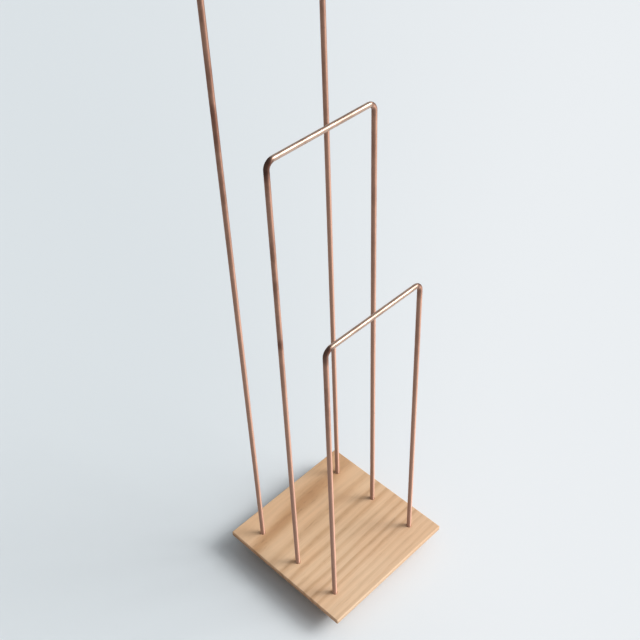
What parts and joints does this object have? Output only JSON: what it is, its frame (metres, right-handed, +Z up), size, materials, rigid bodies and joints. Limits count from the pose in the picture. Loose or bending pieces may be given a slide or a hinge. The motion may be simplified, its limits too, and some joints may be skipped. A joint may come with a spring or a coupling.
{
  "type": "air plant holder",
  "caption": "Air plant holder: bent copper rod hoops in stepped heights, set upright in a square oak board with a bevelled underside.",
  "frame": {"origin": "middle of the surface that the holder stands on, under the centre of the board", "axes": "+Z up, +X along the hoops' bars, +Y from the short hoop in front to the tall hoop behind"},
  "size_m": [0.1, 0.1, 0.426],
  "materials": {
    "oak": "planed and oiled oak with a soft satin surface",
    "copper": "drawn copper rod, satin polished",
    "cork": "fine agglomerated cork"
  },
  "bodies": {
    "root": {"board": "oak", "tall_hoop": "copper", "medium_hoop": "copper", "short_hoop": "copper", "pad_front_left": "cork", "pad_front_right": "cork", "pad_back_left": "cork", "pad_back_right": "cork"}
  },
  "joints": []
}
